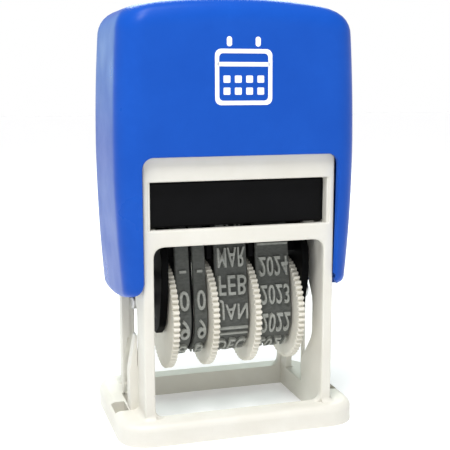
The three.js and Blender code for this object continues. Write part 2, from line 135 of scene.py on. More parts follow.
class Nodes:
    """A material's node tree, with short calls to add and join nodes."""

    def __init__(self, name):
        self.material = bpy.data.materials.new(name)
        self.material.use_nodes = True
        self.tree = self.material.node_tree
        self.shader = self.tree.nodes["Principled BSDF"]
        self.place = self.tree.nodes.new("ShaderNodeTexCoord").outputs["Object"]

    def noise(self, size, detail=3.0, rough=0.5, stretch=(1, 1, 1)):
        """Noise whose features are about `size` millimetres across."""
        mapping = self.tree.nodes.new("ShaderNodeMapping")
        mapping.inputs["Scale"].default_value = stretch
        self.tree.links.new(self.place, mapping.inputs["Vector"])
        node = self.tree.nodes.new("ShaderNodeTexNoise")
        node.inputs["Scale"].default_value = 1 / (size * MM)
        node.inputs["Detail"].default_value = detail
        node.inputs["Roughness"].default_value = rough
        self.tree.links.new(mapping.outputs["Vector"], node.inputs["Vector"])
        return node.outputs["Fac"]

    def spread(self, value, low, high, start=0.3, end=0.7):
        """`value` from start to end, laid over low to high."""
        node = self.tree.nodes.new("ShaderNodeMapRange")
        node.inputs["From Min"].default_value = start
        node.inputs["From Max"].default_value = end
        node.inputs["To Min"].default_value = low
        node.inputs["To Max"].default_value = high
        self.tree.links.new(value, node.inputs["Value"])
        return node.outputs["Result"]

    def blend(self, factor, first, second):
        node = self.tree.nodes.new("ShaderNodeMix")
        node.data_type = "RGBA"
        self.tree.links.new(factor, node.inputs["Factor"])
        for socket, value in ((node.inputs[6], first), (node.inputs[7], second)):
            if isinstance(value, bpy.types.NodeSocket):
                self.tree.links.new(value, socket)
            else:
                socket.default_value = value
        return node.outputs[2]

    def bump(self, height, depth, below=None):
        """A surface relief of `depth` millimetres."""
        node = self.tree.nodes.new("ShaderNodeBump")
        node.inputs["Distance"].default_value = depth * MM
        self.tree.links.new(height, node.inputs["Height"])
        if below:
            self.tree.links.new(below, node.inputs["Normal"])
        return node.outputs["Normal"]

    def drive(self, **sockets):
        """Joins outputs to the shader's sockets; an underscore in a name stands for a space."""
        for name, output in sockets.items():
            self.tree.links.new(output, self.shader.inputs[name.replace("_", " ")])

    def fix(self, **sockets):
        """Sets the shader's own sockets, named as in `drive`."""
        for name, value in sockets.items():
            self.shader.inputs[name.replace("_", " ")].default_value = value


def moulded(name, colour, shade, roughness, grain=0.35, depth=0.012, gloss=0.5):
    """Moulded plastic: a cloudy colour between `colour` and `shade`, a fine spark-eroded grain in its
    surface, and a gloss that varies a little with handling."""
    nodes = Nodes(name)
    cloud = nodes.noise(9, detail=4)
    mist = nodes.noise(1.6, detail=5, rough=0.6)
    tone = nodes.blend(nodes.spread(cloud, 0, 1), colour, shade)
    speck = nodes.blend(nodes.spread(mist, 0, 0.5), tone, shade)
    relief = nodes.bump(nodes.noise(grain, detail=2), depth)
    sink = nodes.bump(nodes.noise(14, detail=1), 0.05, relief)
    nodes.drive(Base_Color=speck, Normal=sink)
    nodes.drive(Roughness=nodes.spread(cloud, roughness - 0.05, roughness + 0.06))
    nodes.fix(Specular_IOR_Level=gloss)
    return nodes.material


def rubber(name, colour, shade, roughness):
    """Vulcanised rubber: matt, powdery, with fine pores and pale scuffs."""
    nodes = Nodes(name)
    scuff = nodes.noise(0.9, detail=6, rough=0.7, stretch=(1, 1, 2.5))
    tone = nodes.blend(nodes.spread(scuff, 0, 1, 0.35, 0.7), shade, colour)
    relief = nodes.bump(nodes.noise(0.18, detail=3), 0.02)
    nodes.drive(Base_Color=tone, Normal=nodes.bump(scuff, 0.04, relief))
    nodes.drive(Roughness=nodes.spread(scuff, roughness - 0.08, roughness + 0.08))
    return nodes.material


def felt(name):
    """Inked felt: matted fibres, darker and wetter where the ink has pooled."""
    nodes = Nodes(name)
    fibres = nodes.noise(0.25, detail=8, rough=0.75, stretch=(1, 3, 1))
    pool = nodes.noise(6, detail=2)
    dry = nodes.blend(fibres, srgb(16, 18, 30), srgb(52, 54, 72))
    nodes.drive(Base_Color=nodes.blend(nodes.spread(pool, 0, 0.8), dry, srgb(10, 11, 22)))
    nodes.drive(Roughness=nodes.spread(pool, 0.95, 0.6), Normal=nodes.bump(fibres, 0.12))
    nodes.fix(Sheen_Weight=0.3)
    return nodes.material


def steel(name, colour, roughness, drawn):
    """Drawn wire or turned pin: fine marks along `drawn`, the direction the metal was worked in."""
    nodes = Nodes(name)
    marks = nodes.noise(0.12, detail=4, stretch=drawn)
    tarnish = nodes.noise(3, detail=4)
    nodes.drive(Base_Color=nodes.blend(nodes.spread(tarnish, 0, 0.6), colour, srgb(150, 146, 140)))
    nodes.drive(Roughness=nodes.spread(marks, roughness - 0.08, roughness + 0.12))
    nodes.drive(Normal=nodes.bump(marks, 0.006))
    nodes.fix(Metallic=1.0)
    return nodes.material


def print_ink(name):
    """Opaque white printing ink with a slight orange peel."""
    nodes = Nodes(name)
    peel = nodes.noise(0.5, detail=3)
    nodes.drive(Base_Color=nodes.blend(nodes.spread(peel, 0, 1), srgb(250, 251, 253), srgb(238, 241, 247)))
    nodes.drive(Normal=nodes.bump(peel, 0.01))
    nodes.fix(Roughness=0.4)
    return nodes.material


CAP_BLUE = moulded("cap_blue", srgb(24, 82, 182), srgb(20, 76, 174), 0.32, grain=0.5, depth=0.006, gloss=0.1)
FRAME_WHITE = moulded("frame_white", srgb(224, 222, 214), srgb(217, 214, 204), 0.45, gloss=0.4)
WHEEL_IVORY = moulded("wheel_ivory", srgb(230, 227, 217), srgb(218, 214, 201), 0.45, grain=0.25, gloss=0.4)
TRAY_BLACK = moulded("tray_black", srgb(12, 12, 14), srgb(8, 8, 9), 0.42, gloss=0.08)
CARRIAGE_BLACK = moulded("carriage_black", srgb(4, 4, 5), srgb(2, 2, 3), 0.5, gloss=0.06)
BAND_GREY = rubber("band_grey", srgb(92, 94, 90), srgb(70, 72, 69), 0.8)
# The raised type is the band's own rubber, painted lighter than the band: a painted highlight for the light
# on the letters' faces and edges.
TYPE_GREY_PAINTED_HIGHLIGHT = rubber("type_grey_painted_highlight", srgb(166, 168, 162), srgb(134, 136, 130), 0.75)
INKED_FELT = felt("inked_felt")
PIN_STEEL = steel("pin_steel", srgb(200, 201, 204), 0.3, (8, 1, 1))
SPRING_STEEL = steel("spring_steel", srgb(206, 207, 210), 0.24, (1, 1, 4))
PRINT_WHITE = print_ink("print_white")


# ---- mesh helpers ----

def smooth(mesh, sharp_above=None):
    mesh.polygons.foreach_set("use_smooth", [True] * len(mesh.polygons))
    if sharp_above:
        mesh.set_sharp_from_angle(angle=math.radians(sharp_above))
    mesh.update()


def link(name, mesh, material):
    piece = bpy.data.objects.new(name, mesh)
    mesh.materials.clear()
    mesh.materials.append(material)
    scene.collection.objects.link(piece)
    return piece


def make(name, points, faces, material, sharp_above=35):
    """A piece from points in millimetres. Its faces are turned to point out."""
    mesh = bpy.data.meshes.new(name)
    mesh.from_pydata([Vector(point) * MM for point in points], [], faces)
    shape = bmesh.new()
    shape.from_mesh(mesh)
    bmesh.ops.recalc_face_normals(shape, faces=shape.faces)
    shape.to_mesh(mesh)
    shape.free()
    smooth(mesh, sharp_above)
    return link(name, mesh, material)


def round_edges(piece, width, segments=3, above=35):
    bevel = piece.modifiers.new("rounded_edges", "BEVEL")
    bevel.width = width * MM
    bevel.segments = segments
    bevel.limit_method = "ANGLE"
    bevel.angle_limit = math.radians(above)
    bevel.use_clamp_overlap = False
    bevel.harden_normals = True


def place(piece, body, slot, *nodes):
    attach(piece, body)
    if nodes:
        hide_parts(*nodes)
    return piece


def quads(rings, ring_size, closed_loft=False):
    """Faces of a loft: `rings` closed rings of `ring_size` points, stored one after another."""
    faces = []
    for ring in range(rings if closed_loft else rings - 1):
        here, there = ring * ring_size, (ring + 1) % rings * ring_size
        for k in range(ring_size):
            after = (k + 1) % ring_size
            faces.append((here + k, here + after, there + after, there + k))
    return faces


def capped(rings, ring_size):
    """Faces of a loft that is closed at both ends."""
    last = (rings - 1) * ring_size
    return [*quads(rings, ring_size), tuple(range(ring_size)), tuple(range(last, last + ring_size))]


def arc_points(centre, radius, start, end, steps):
    """Points of an arc between two angles in degrees."""
    angles = [math.radians(start + (end - start) * k / steps) for k in range(steps + 1)]
    return [(centre[0] + radius * math.cos(a), centre[1] + radius * math.sin(a)) for a in angles]


def circle(u, v, radius, sides=40):
    return arc_points((u, v), radius, 0, 360, sides)[:-1]


def rounded(corners, steps=6):
    """An outline through corners (u, v, reach), each rounded by a curve of that reach."""
    points = []
    for k, (u, v, *reach) in enumerate(corners):
        here = Vector((u, v))
        if not reach:
            points.append((u, v))
            continue
        before = Vector(corners[k - 1][:2])
        after = Vector(corners[(k + 1) % len(corners)][:2])
        start = here + (before - here).normalized() * reach[0]
        end = here + (after - here).normalized() * reach[0]
        for step in range(steps + 1):
            t = step / steps
            points.append(tuple(start * (1 - t) ** 2 + here * 2 * t * (1 - t) + end * t * t))
    return points


def rectangle(u0, v0, u1, v1, reach, steps=6):
    return rounded([(u0, v0, reach), (u1, v0, reach), (u1, v1, reach), (u0, v1, reach)], steps)


def settled_mesh(piece):
    """A new mesh of an object with its modifiers or curve settings applied."""
    bpy.context.view_layer.update()
    return bpy.data.meshes.new_from_object(piece.evaluated_get(bpy.context.evaluated_depsgraph_get()))


def welded_shape(curve, weld):
    """A curve or text as one joined shape; points closer than `weld` become one."""
    holder = bpy.data.objects.new("holder", curve)
    scene.collection.objects.link(holder)
    mesh = settled_mesh(holder)
    bpy.data.objects.remove(holder)
    bpy.data.batch_remove([curve])
    shape = bmesh.new()
    shape.from_mesh(mesh)
    bpy.data.meshes.remove(mesh)
    bmesh.ops.remove_doubles(shape, verts=shape.verts, dist=weld)
    return shape


def points_and_faces(shape):
    """A shape as lists of points and faces; the shape is freed."""
    shape.verts.index_update()
    points = [tuple(vertex.co) for vertex in shape.verts]
    faces = [tuple(vertex.index for vertex in face.verts) for face in shape.faces]
    shape.free()
    return points, faces


# Where a plate's own (u, v, thickness) directions point.
AXES = {
    "x": lambda u, v, w: (w, u, v),
    "y": lambda u, v, w: (u, w, v),
    "z": lambda u, v, w: (u, v, w),
}


def plate(loops, axis, low, high, edge=0.3, edge_steps=2):
    """A plate across `axis` from low to high with rounded edges: an outline, then any holes."""
    curve = bpy.data.curves.new("plate", "CURVE")
    curve.dimensions = "2D"
    curve.fill_mode = "BOTH"
    curve.extrude = (high - low) / 2 - edge
    curve.bevel_depth = edge
    curve.bevel_resolution = edge_steps
    curve.offset = -edge
    for loop in loops:
        spline = curve.splines.new("POLY")
        spline.points.add(len(loop) - 1)
        spline.use_cyclic_u = True
        for point, (u, v) in zip(spline.points, loop):
            point.co = (u, v, 0, 1)
    points, faces = points_and_faces(welded_shape(curve, 1e-4))
    middle = (low + high) / 2
    return [AXES[axis](u, v, w + middle) for u, v, w in points], faces


def lathe_x(profile, z, sides=48):
    """A turned piece along X in the middle plane: profile points (x, radius), closed by flat ends."""
    points = [(x, *point) for x, radius in profile for point in circle(0, z, radius, sides)]
    return points, capped(len(profile), sides)


def pin_x(radius, x0, x1, z, chamfer=0.2):
    """A pin along X in the middle plane, with chamfered ends."""
    low, high = sorted((x0, x1))
    neck = radius - chamfer
    return lathe_x([(low, neck), (low + chamfer, radius), (high - chamfer, radius), (high, neck)], z)


def tube_x(outer, inner, x0, x1, z, sides=48):
    """A tube along X in the middle plane."""
    points, _ = lathe_x([(x0, inner), (x0, outer), (x1, outer), (x1, inner)], z, sides)
    return points, quads(4, sides, closed_loft=True)


def turned_z(profile):
    """A turned piece on the Z axis: profile points (z, radius), closed by flat ends."""
    points, faces = lathe_x(profile, 0)
    return [(y, z, x) for x, y, z in points], faces


def joined(parts):
    """Several parts' points and faces as one list of each."""
    points, faces = [], []
    for part_points, part_faces in parts:
        start = len(points)
        points += part_points
        faces += [tuple(start + k for k in face) for face in part_faces]
    return points, faces


def combine(name, base, others, operation, material):
    """A piece made from `base` by adding or taking away the other solids."""
    piece = make(name, *base, material)
    tools = [make(f"{name}_tool", *other, material) for other in others]
    for tool in tools:
        step = piece.modifiers.new("combine", "BOOLEAN")
        step.operation = operation
        step.solver = "EXACT"
        step.object = tool
    mesh = settled_mesh(piece)
    piece.modifiers.clear()
    piece.data = mesh
    for tool in tools:
        bpy.data.objects.remove(tool)
    return piece


def finish_edges(piece, sharp_above=35):
    """Smooth shading that keeps flat faces flat."""
    smooth(piece.data, sharp_above)
    weigh = piece.modifiers.new("flat_faces", "WEIGHTED_NORMAL")
    weigh.keep_sharp = True
    return piece


def add_piece(name, part, material, body, slot, *nodes):
    """A piece from its points and faces, with finished edges, on its body."""
    return place(finish_edges(make(name, *part, material)), body, slot, *nodes)


# ---- cap ----

# How finely the cap's surface is divided.
FRONT_STEPS = 24
CORNER_STEPS = 9
HALF_SIDE_STEPS = 6
MOUTH_ARC_STEPS = 3
FOOT_HEIGHTS = (0, 0.45, 0.8, 1.15, 1.5, 1.8)
FLANK_ROWS = 8
WALL_ROWS = 9
SHOULDER_ROWS = 8
TOP_RINGS = 9

CAP_BOSS = {"outer": 2.7, "bore": 1.6, "inner_end": 18.3, "outer_end": 20.2}  # holds a pivot pin
CAP_POST = [(77.0, 3.3), (72.6, 3.3), (72.0, 2.7), (72.0, 0.9), (74.5, 0.9)]  # (z, radius)


def cap_half_width(z):
    t = (z - CAP_FLANK["low"]) / (CAP_FLANK["high"] - CAP_FLANK["low"])
    ends = CAP_FLANK["low_half"] * (1 - t) ** 2 + CAP_FLANK["high_half"] * t * t
    return ends + 2 * CAP_FLANK["bulge_half"] * t * (1 - t)


def cap_half_depth(z):
    above_mouth = max(0.0, z - MOUTH["top"])
    return CAP_DEPTH - CAP_DRAFT * above_mouth / (CAP_TOP - MOUTH["top"])


def cap_top(x):
    return CAP_TOP - CAP_CROWN["drop"] * (x / CAP_CROWN["half"]) ** 2


def front_depth(x, half_width, half_depth):
    """Distance of the front surface from the middle plane at x."""
    past = max(0.0, abs(x) - (half_width - CAP_CORNER))
    return half_depth - CAP_CORNER + math.sqrt(max(0.0, CAP_CORNER**2 - past**2))


def flank_outline(half_width, half_depth, edge):
    """The right flank from the mouth's front edge, round both corners, to its rear edge."""
    centre_x, centre_y = half_width - CAP_CORNER, half_depth - CAP_CORNER
    start = -math.degrees(math.acos(min(1.0, max(0.0, (edge - centre_x) / CAP_CORNER))))
    front = [(edge, -front_depth(edge, half_width, half_depth))]
    front += arc_points((centre_x, -centre_y), CAP_CORNER, start, 0, CORNER_STEPS)[1:]
    for k in range(1, HALF_SIDE_STEPS):
        front.append((half_width, -centre_y * (1 - k / HALF_SIDE_STEPS)))
    return front + [(half_width, 0)] + [(x, -y) for x, y in reversed(front)]


def front_stations(half_width, half_depth, edge):
    """The front between the mouth's edges, gathered near them for the mouth's corner arcs."""
    bend = 1 - MOUTH["corner"] / MOUTH["half"]
    inner = [bend * (2 * k / FRONT_STEPS - 1) for k in range(FRONT_STEPS + 1)]
    outer = [bend + (1 - bend) * k / MOUTH_ARC_STEPS for k in range(1, MOUTH_ARC_STEPS)]
    shares = [-share for share in reversed(outer)] + inner + outer
    return [(edge * share, -front_depth(edge * share, half_width, half_depth)) for share in shares]


def cap_ring(half_width, half_depth, edge, height):
    """One closed ring: front, right flank, rear, left flank, at the height that each x has."""
    front = front_stations(half_width, half_depth, edge)
    flank = flank_outline(half_width, half_depth, edge)
    outline = front + flank + [(-x, -y) for x, y in front] + [(-x, -y) for x, y in flank]
    return [(x, y, height(x)) for x, y in outline]


def foot_height(y):
    """The flank's lower edge: level at the rear, swept up to the front, rounded at the rear corner."""
    sweep = max(0.0, (FOOT["level_y"] - y) / (FOOT["level_y"] + CAP_DEPTH))
    past = min(0.95, max(0.0, (y - CAP_DEPTH + FOOT["rear"]) / FOOT["rear"]))
    return FOOT["z"] + FOOT["lift"] * sweep**2 + FOOT["rear"] * (1 - math.sqrt(1 - past**2))


def mouth_arc(share):
    """A point (x, z) on the mouth's corner arc: 0 at its top end, 1 at its lower end."""
    angle = share * math.pi / 2
    across, up = math.sin(angle) * MOUTH["corner"], math.cos(angle) * MOUTH["corner"]
    return MOUTH["half"] - MOUTH["corner"] + across, MOUTH["top"] - MOUTH["corner"] + up


def foot_curl(height):
    """How far the outside of the flank is curled in, `height` above its lower edge."""
    low = min(1.0, max(0.0, 1 - height / FOOT["curl_height"]))
    return low, FOOT["curl"] * (1 - math.sqrt(1 - low**2))


def foot_row(height):
    """A row of the right flank `height` above its lower edge, curled in towards that edge."""
    low, curl = foot_curl(height)
    width = cap_half_width(FOOT["z"]) - curl
    row = []
    for x, y in flank_outline(width, CAP_DEPTH - curl, MOUTH["half"]):
        near_edge = max(0.0, 1 - (x - MOUTH["half"]) / FOOT["inner_reach"])
        row.append((x, y, foot_height(y) + height + FOOT["inner"] * near_edge**2 * low))
    return row


def flank_rows():
    """The right flank's rows from its foot up to the height of the mouth's top."""
    straight_top = MOUTH["top"] - MOUTH["corner"]
    rows = [foot_row(height) for height in FOOT_HEIGHTS]
    lowest = rows[-1]
    for k in range(1, FLANK_ROWS + 1):
        share = k / FLANK_ROWS
        middle = FOOT["z"] + (straight_top - FOOT["z"]) * share
        outline = flank_outline(cap_half_width(middle), cap_half_depth(middle), MOUTH["half"])
        rows.append([
            (x, y, low[2] + (straight_top - low[2]) * share) for (x, y), low in zip(outline, lowest)
        ])
    for k in range(1, MOUTH_ARC_STEPS + 1):
        z = straight_top + MOUTH["corner"] * k / MOUTH_ARC_STEPS
        edge, edge_z = mouth_arc(1 - k / MOUTH_ARC_STEPS / 2)
        row = [(x, y, z) for x, y in flank_outline(cap_half_width(z), cap_half_depth(z), edge)]
        for end in (0, -1):
            row[end] = (row[end][0], row[end][1], edge_z)
        rows.append(row)
    return rows


def mouth_ring():
    """The ring at the mouth's top, with the mouth's corners rounded."""
    width, depth = cap_half_width(MOUTH["top"]), cap_half_depth(MOUTH["top"])
    ring = cap_ring(width, depth, MOUTH["half"], lambda x: MOUTH["top"])
    front_count = len(front_stations(width, depth, MOUTH["half"]))
    flank_count = len(flank_outline(width, depth, MOUTH["half"]))
    for start in (0, front_count + flank_count):
        for k in range(1, MOUTH_ARC_STEPS):
            x, z = mouth_arc((MOUTH_ARC_STEPS - k) / MOUTH_ARC_STEPS / 2)
            y = front_depth(x, width, depth)
            for at in (start + k - 1, start + front_count - k):
                ring[at] = (math.copysign(x, ring[at][0]), math.copysign(y, ring[at][1]), z)
    return ring, front_count, flank_count


def cap_surface():
    """The cap's outer surface as rows of points, joined into faces."""
    points, faces = [], []

    def add_row(row):
        points.extend(row)
        return list(range(len(points) - len(row), len(points)))

    def join(lower, upper, closed):
        for k in range(len(lower) if closed else len(lower) - 1):
            after = (k + 1) % len(lower)
            faces.append((lower[k], lower[after], upper[after], upper[k]))

    rows = flank_rows()
    left_rows = [[(-x, y, z) for x, y, z in reversed(row)] for row in rows]
    ring, front_count, flank_count = mouth_ring()
    right_start, left_start = front_count, 2 * front_count + flank_count
    ring[right_start:right_start + flank_count] = rows[-1]
    ring[left_start:] = left_rows[-1]
    last = add_row(ring)
    for flank, start in ((rows, right_start), (left_rows, left_start)):
        below = [add_row(row) for row in flank[:-1]] + [last[start:start + flank_count]]
        for lower, upper in zip(below, below[1:]):
            join(lower, upper, False)
    rings = [wall_ring(k / WALL_ROWS) for k in range(1, WALL_ROWS + 1)]
    rings += [shoulder_ring(k / SHOULDER_ROWS) for k in range(1, SHOULDER_ROWS + 1)]
    edge_ring = rings[-1]
    for k in range(1, TOP_RINGS):
        share = 1 - k / TOP_RINGS
        rings.append([(x * share, y * share, cap_top(x * share)) for x, y, _ in edge_ring])
    for row in rings:
        current = add_row(row)
        join(last, current, True)
        last = current
    faces.append(tuple(last))
    return points, faces


def wall_ring(share):
    """A ring of the closed wall: share 0 at the mouth's top, 1 where the top's rounding begins."""
    def height(x):
        return MOUTH["top"] + (cap_top(x) - CAP_SHOULDER - MOUTH["top"]) * share

    return cap_ring(cap_half_width(height(0)), cap_half_depth(height(0)), MOUTH["half"], height)


def shoulder_ring(share):
    """A ring of the rounding between the wall and the top."""
    inset = CAP_SHOULDER * share**2
    rise = CAP_SHOULDER * (2 * share - share**2)
    base = CAP_TOP - CAP_SHOULDER
    width, depth = cap_half_width(base), cap_half_depth(base)
    edge = MOUTH["half"] * (width - inset) / width
    return cap_ring(width - inset, depth - inset, edge, lambda x: cap_top(x) - CAP_SHOULDER + rise)


def wall_share(y, z):
    """The share of CAP_WALL left at a point of the outside: less on the front and rear, which taper to
    the top, and where the foot curls in, so that the inside stays straight."""
    depth = cap_half_depth(z)
    facing = min(1.0, max(0.0, (abs(y) - depth + CAP_CORNER) / CAP_CORNER)) ** 2
    thickness = CAP_WALL + (depth - CAP_INSIDE_DEPTH - CAP_WALL) * facing
    curl = foot_curl(z - foot_height(y))[1]
    return max(CAP_EDGE, thickness - curl) / CAP_WALL


def build_cap():
    points, faces = cap_surface()
    cap = make("cap_shell_moulded", points, faces, CAP_BLUE, None)
    wall = cap.modifiers.new("wall", "SOLIDIFY")
    wall.thickness = CAP_WALL * MM
    wall.offset = -1
    wall.use_even_offset = True
    left = cap.vertex_groups.new(name="wall_left")
    for index, (_, y, z) in enumerate(points):
        left.add([index], wall_share(y, z), "REPLACE")
    wall.vertex_group = "wall_left"
    round_edges(cap, 0.22, 3, 50)
    place(cap, "cap", "cap_plastic", "cap_shell")
    for side, sign in (("left", -1), ("right", 1)):
        ends = sign * CAP_BOSS["inner_end"], sign * CAP_BOSS["outer_end"]
        part = tube_x(CAP_BOSS["outer"], CAP_BOSS["bore"], *ends, PIVOT_Z)
        boss = make(f"pivot_boss_{side}", *part, CAP_BLUE, 30)
        round_edges(boss, 0.15, 2)
        place(boss, "cap", "cap_plastic")


def build_cap_guide():
    """The post under the cap's ceiling that keeps the spring upright."""
    post = make("spring_guide_cap", *turned_z(CAP_POST), CAP_BLUE, 30)
    place(post, "cap", "cap_plastic")


# ---- calendar mark printed on the cap's face ----

MARK = {
    "z": 64.6, "half": 5.2, "half_tall": 4.784, "line": 0.75, "corner": 1.1,
    "bar": 2.184, "ring_x": 2.6, "ring_half": 0.85, "ring_gap": 1.25,
    "day": 0.62, "day_corner": 0.18, "day_pitch": 2.05, "first_row": -0.35,
    "sunk": 0.02, "film": 0.04,
}


def rounded_square(half_x, half_z, corner, steps=6):
    points = []
    for turn, (x, z) in enumerate(((1, 1), (-1, 1), (-1, -1), (1, -1))):
        centre = x * (half_x - corner), z * (half_z - corner)
        points += arc_points(centre, corner, 90 * turn, 90 * turn + 90, steps)
    return points


def on_cap_front(x, z, lift):
    width, depth = cap_half_width(z), cap_half_depth(z)
    return (x, -front_depth(x, width, depth) - lift, z)


def printed_patch(outline, at_x=0, at_z=0, hole=None):
    """A thin film of ink on the cap's front, moved from the mark's middle, with an optional hole."""
    low, high = -MARK["sunk"], MARK["film"]
    loops = [(outline, low), (outline, high)]
    if hole is not None:
        loops = [(hole, low), *loops, (hole, high)]
    at_z += MARK["z"]
    points = [on_cap_front(at_x + x, at_z + z, lift) for loop, lift in loops for x, z in loop]
    if hole is None:
        return points, capped(2, len(outline))
    return points, quads(4, len(outline), closed_loft=True)


def build_calendar_mark():
    """A page with a bar under its heading, two binding rings and two rows of days."""
    half, tall, line, corner = (MARK[key] for key in ("half", "half_tall", "line", "corner"))
    page = rounded_square(half, tall, corner)
    inside = rounded_square(half - line, tall - line, corner - line * 0.5)
    patches = [printed_patch(page, hole=inside)]
    bar = rounded_square(half - line / 2, line / 2, line / 2.1)
    patches.append(printed_patch(bar, 0, MARK["bar"]))
    ring = rounded_square(line * 0.62, MARK["ring_half"], line * 0.6)
    for side in (-1, 1):
        patches.append(printed_patch(ring, side * MARK["ring_x"], tall + MARK["ring_gap"]))
    day = rounded_square(MARK["day"], MARK["day"], MARK["day_corner"])
    for row in range(2):
        for column in range(4):
            x, z = (column - 1.5) * MARK["day_pitch"], MARK["first_row"] - row * MARK["day_pitch"]
            patches.append(printed_patch(day, x, z))
    mark = make("calendar_mark", *joined(patches), PRINT_WHITE, 30)
    place(mark, "cap", "cap_plastic")


# ---- spring ----

def build_spring():
    """A helix with its end turns wound closer, as on a spring that stands on its ends."""
    steps, sides = 330, 14
    points = []
    for step in range(steps + 1):
        t = step / steps
        angle = 2 * math.pi * SPRING["turns"] * t
        eased = t - SPRING["close"] * math.sin(2 * math.pi * t)
        z = SPRING["bottom"] + (SPRING["top"] - SPRING["bottom"]) * eased
        for radius, height in circle(SPRING["radius"], z, SPRING["wire"], sides):
            points.append((radius * math.cos(angle), radius * math.sin(angle), height))
    spring = make("return_spring_coil", points, capped(steps + 1, sides), SPRING_STEEL, 50)
    place(spring, "frame", "spring_steel", "return_spring")
    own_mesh(spring)


# ---- date bands ----

# Half of a band's way round: the platen's flat, its corner, the straight strand and half the hub.
STRAND = math.hypot(BELT["corner_y"], BELT["corner_z"] - WHEEL_Z)
TILT = math.asin((BELT["hub"] - BELT["corner"]) / STRAND) - math.atan2(
    BELT["corner_y"], BELT["corner_z"] - WHEEL_Z
)
STRAND_LENGTH = math.sqrt(STRAND**2 - (BELT["hub"] - BELT["corner"]) ** 2)
CORNER_LENGTH = BELT["corner"] * (math.pi / 2 - TILT)
HUB_LENGTH = BELT["hub"] * (math.pi / 2 + TILT)
HALF_BELT = BELT["corner_y"] + CORNER_LENGTH + STRAND_LENGTH + HUB_LENGTH


def belt_place(along, lift):
    """(y, z) of a point `lift` above the band's surface, `along` from the middle of the platen:
    over its front corner, down the front strand, round the hub and up the rear."""
    along = (along + HALF_BELT) % (2 * HALF_BELT) - HALF_BELT
    side, travel = math.copysign(1, along), abs(along)
    if travel < BELT["corner_y"]:
        return -side * travel, BELT["corner_z"] + BELT["corner"] + lift
    travel -= BELT["corner_y"]
    if travel < CORNER_LENGTH:
        angle = math.pi / 2 - travel / BELT["corner"]
        reach = BELT["corner"] + lift
        y = BELT["corner_y"] + reach * math.cos(angle)
        return -side * y, BELT["corner_z"] + reach * math.sin(angle)
    travel -= CORNER_LENGTH
    if travel < STRAND_LENGTH:
        reach = BELT["corner"] + lift
        y = BELT["corner_y"] + reach * math.cos(TILT) + travel * math.sin(TILT)
        return -side * y, BELT["corner_z"] + reach * math.sin(TILT) - travel * math.cos(TILT)
    angle = TILT - (travel - STRAND_LENGTH) / BELT["hub"]
    reach = BELT["hub"] + lift
    return -side * reach * math.cos(angle), WHEEL_Z + reach * math.sin(angle)


def band_loop(x0, x1):
    """The band itself: a flat loop with softened edges."""
    soft, thick, steps = 0.18, BELT["thickness"], 160
    section = [
        (x0 + soft, -thick), (x1 - soft, -thick), (x1, soft - thick), (x1, -soft),
        (x1 - soft, 0), (x0 + soft, 0), (x0, -soft), (x0, soft - thick),
    ]
    points = []
    for step in range(steps):
        for x, lift in section:
            points.append((x, *belt_place(2 * HALF_BELT * step / steps, lift)))
    return points, quads(steps, len(section), closed_loft=True)


def rib(x0, x1, along, width=0.5, height=0.45):
    """A raised bar across the band."""
    half, slope, sunk = width / 2, 0.08, TYPE["sunk"]
    section = [(-half, -sunk), (slope - half, height), (half - slope, height), (half, -sunk)]
    points = [(x, *belt_place(along + step, lift)) for x in (x0, x1) for step, lift in section]
    return points, capped(2, 4)


def raised_type(word, x0, x1, along):
    """A word in raised letters on the band, mirrored so that it prints the right way round."""
    curve = bpy.data.curves.new("type", "FONT")
    curve.body = word
    curve.resolution_u = 4
    curve.extrude = 0.5
    curve.offset = 0.012
    curve.space_character = 1.08
    shape = welded_shape(curve, 1e-5)
    low = [min(vertex.co[axis] for vertex in shape.verts) for axis in range(2)]
    high = [max(vertex.co[axis] for vertex in shape.verts) for axis in range(2)]
    cuts = 8
    for cut in range(1, cuts):
        level = low[1] + (high[1] - low[1]) * cut / cuts
        parts = shape.verts[:] + shape.edges[:] + shape.faces[:]
        bmesh.ops.bisect_plane(shape, geom=parts, plane_co=(0, level, 0), plane_no=(0, 1, 0))
    wide = min(x1 - x0, (high[0] - low[0]) / (high[1] - low[1]) * TYPE["tall"] * TYPE["stretch"])
    centre = (x0 + x1) / 2
    for vertex in shape.verts:
        across = (vertex.co.x - low[0]) / (high[0] - low[0]) - 0.5
        up = (vertex.co.y - low[1]) / (high[1] - low[1]) - 0.5
        raised = vertex.co.z > 0
        taper = 1 - TYPE["draft"] * raised
        y, z = belt_place(along + up * TYPE["tall"] * taper, TYPE["height"] if raised else -TYPE["sunk"])
        vertex.co = (centre + across * wide * taper, y, z)
    bmesh.ops.recalc_face_normals(shape, faces=shape.faces)
    return points_and_faces(shape)


# Each month's place along the band, and the places of the double bar.
MONTHS = {
    "MAY": -0.86, "APR": 4.34, "MAR": 9.54, "FEB": 14.74, "JAN": 19.2, "DEC": 27.0,
    "NOV": 32.2, "OCT": 37.4, "SEP": 42.6, "AUG": 47.8, "JUL": 53.0, "JUN": 58.2,
}
MONTH_BARS = (22.75, 23.85)
YEAR_BARS = (-1.1, 0, 1.1)  # from the middle of the empty place
MARGIN = {"month": 0.35, "day": 0.4, "year": 0.4, "bar": 0.3, "dash": 0.7}  # at each side of a band
DAYS = ["1", "", "", "0", "9", "8", "7", "6", "5", "4", "3", "2"]  # a blank block has a dash
FIRST_DAY_PLACE = 1.0
YEARS = [2014, None, *range(2024, 2014, -1)]  # three bars stand in the empty place
FIRST_YEAR_PLACE = 0.9


def within(x0, x1, kind):
    return x0 + MARGIN[kind], x1 - MARGIN[kind]


def month_type(*band):
    parts = [raised_type(word, *within(*band, "month"), along) for word, along in MONTHS.items()]
    return parts + [rib(*within(*band, "bar"), along) for along in MONTH_BARS]


def day_type(*band):
    pitch = 2 * HALF_BELT / len(DAYS)
    parts = []
    for k, word in enumerate(DAYS):
        along = FIRST_DAY_PLACE + pitch * k
        if word:
            parts.append(raised_type(word, *within(*band, "day"), along))
        else:
            parts.append(rib(*within(*band, "dash"), along, 0.6, 0.4))
    return parts


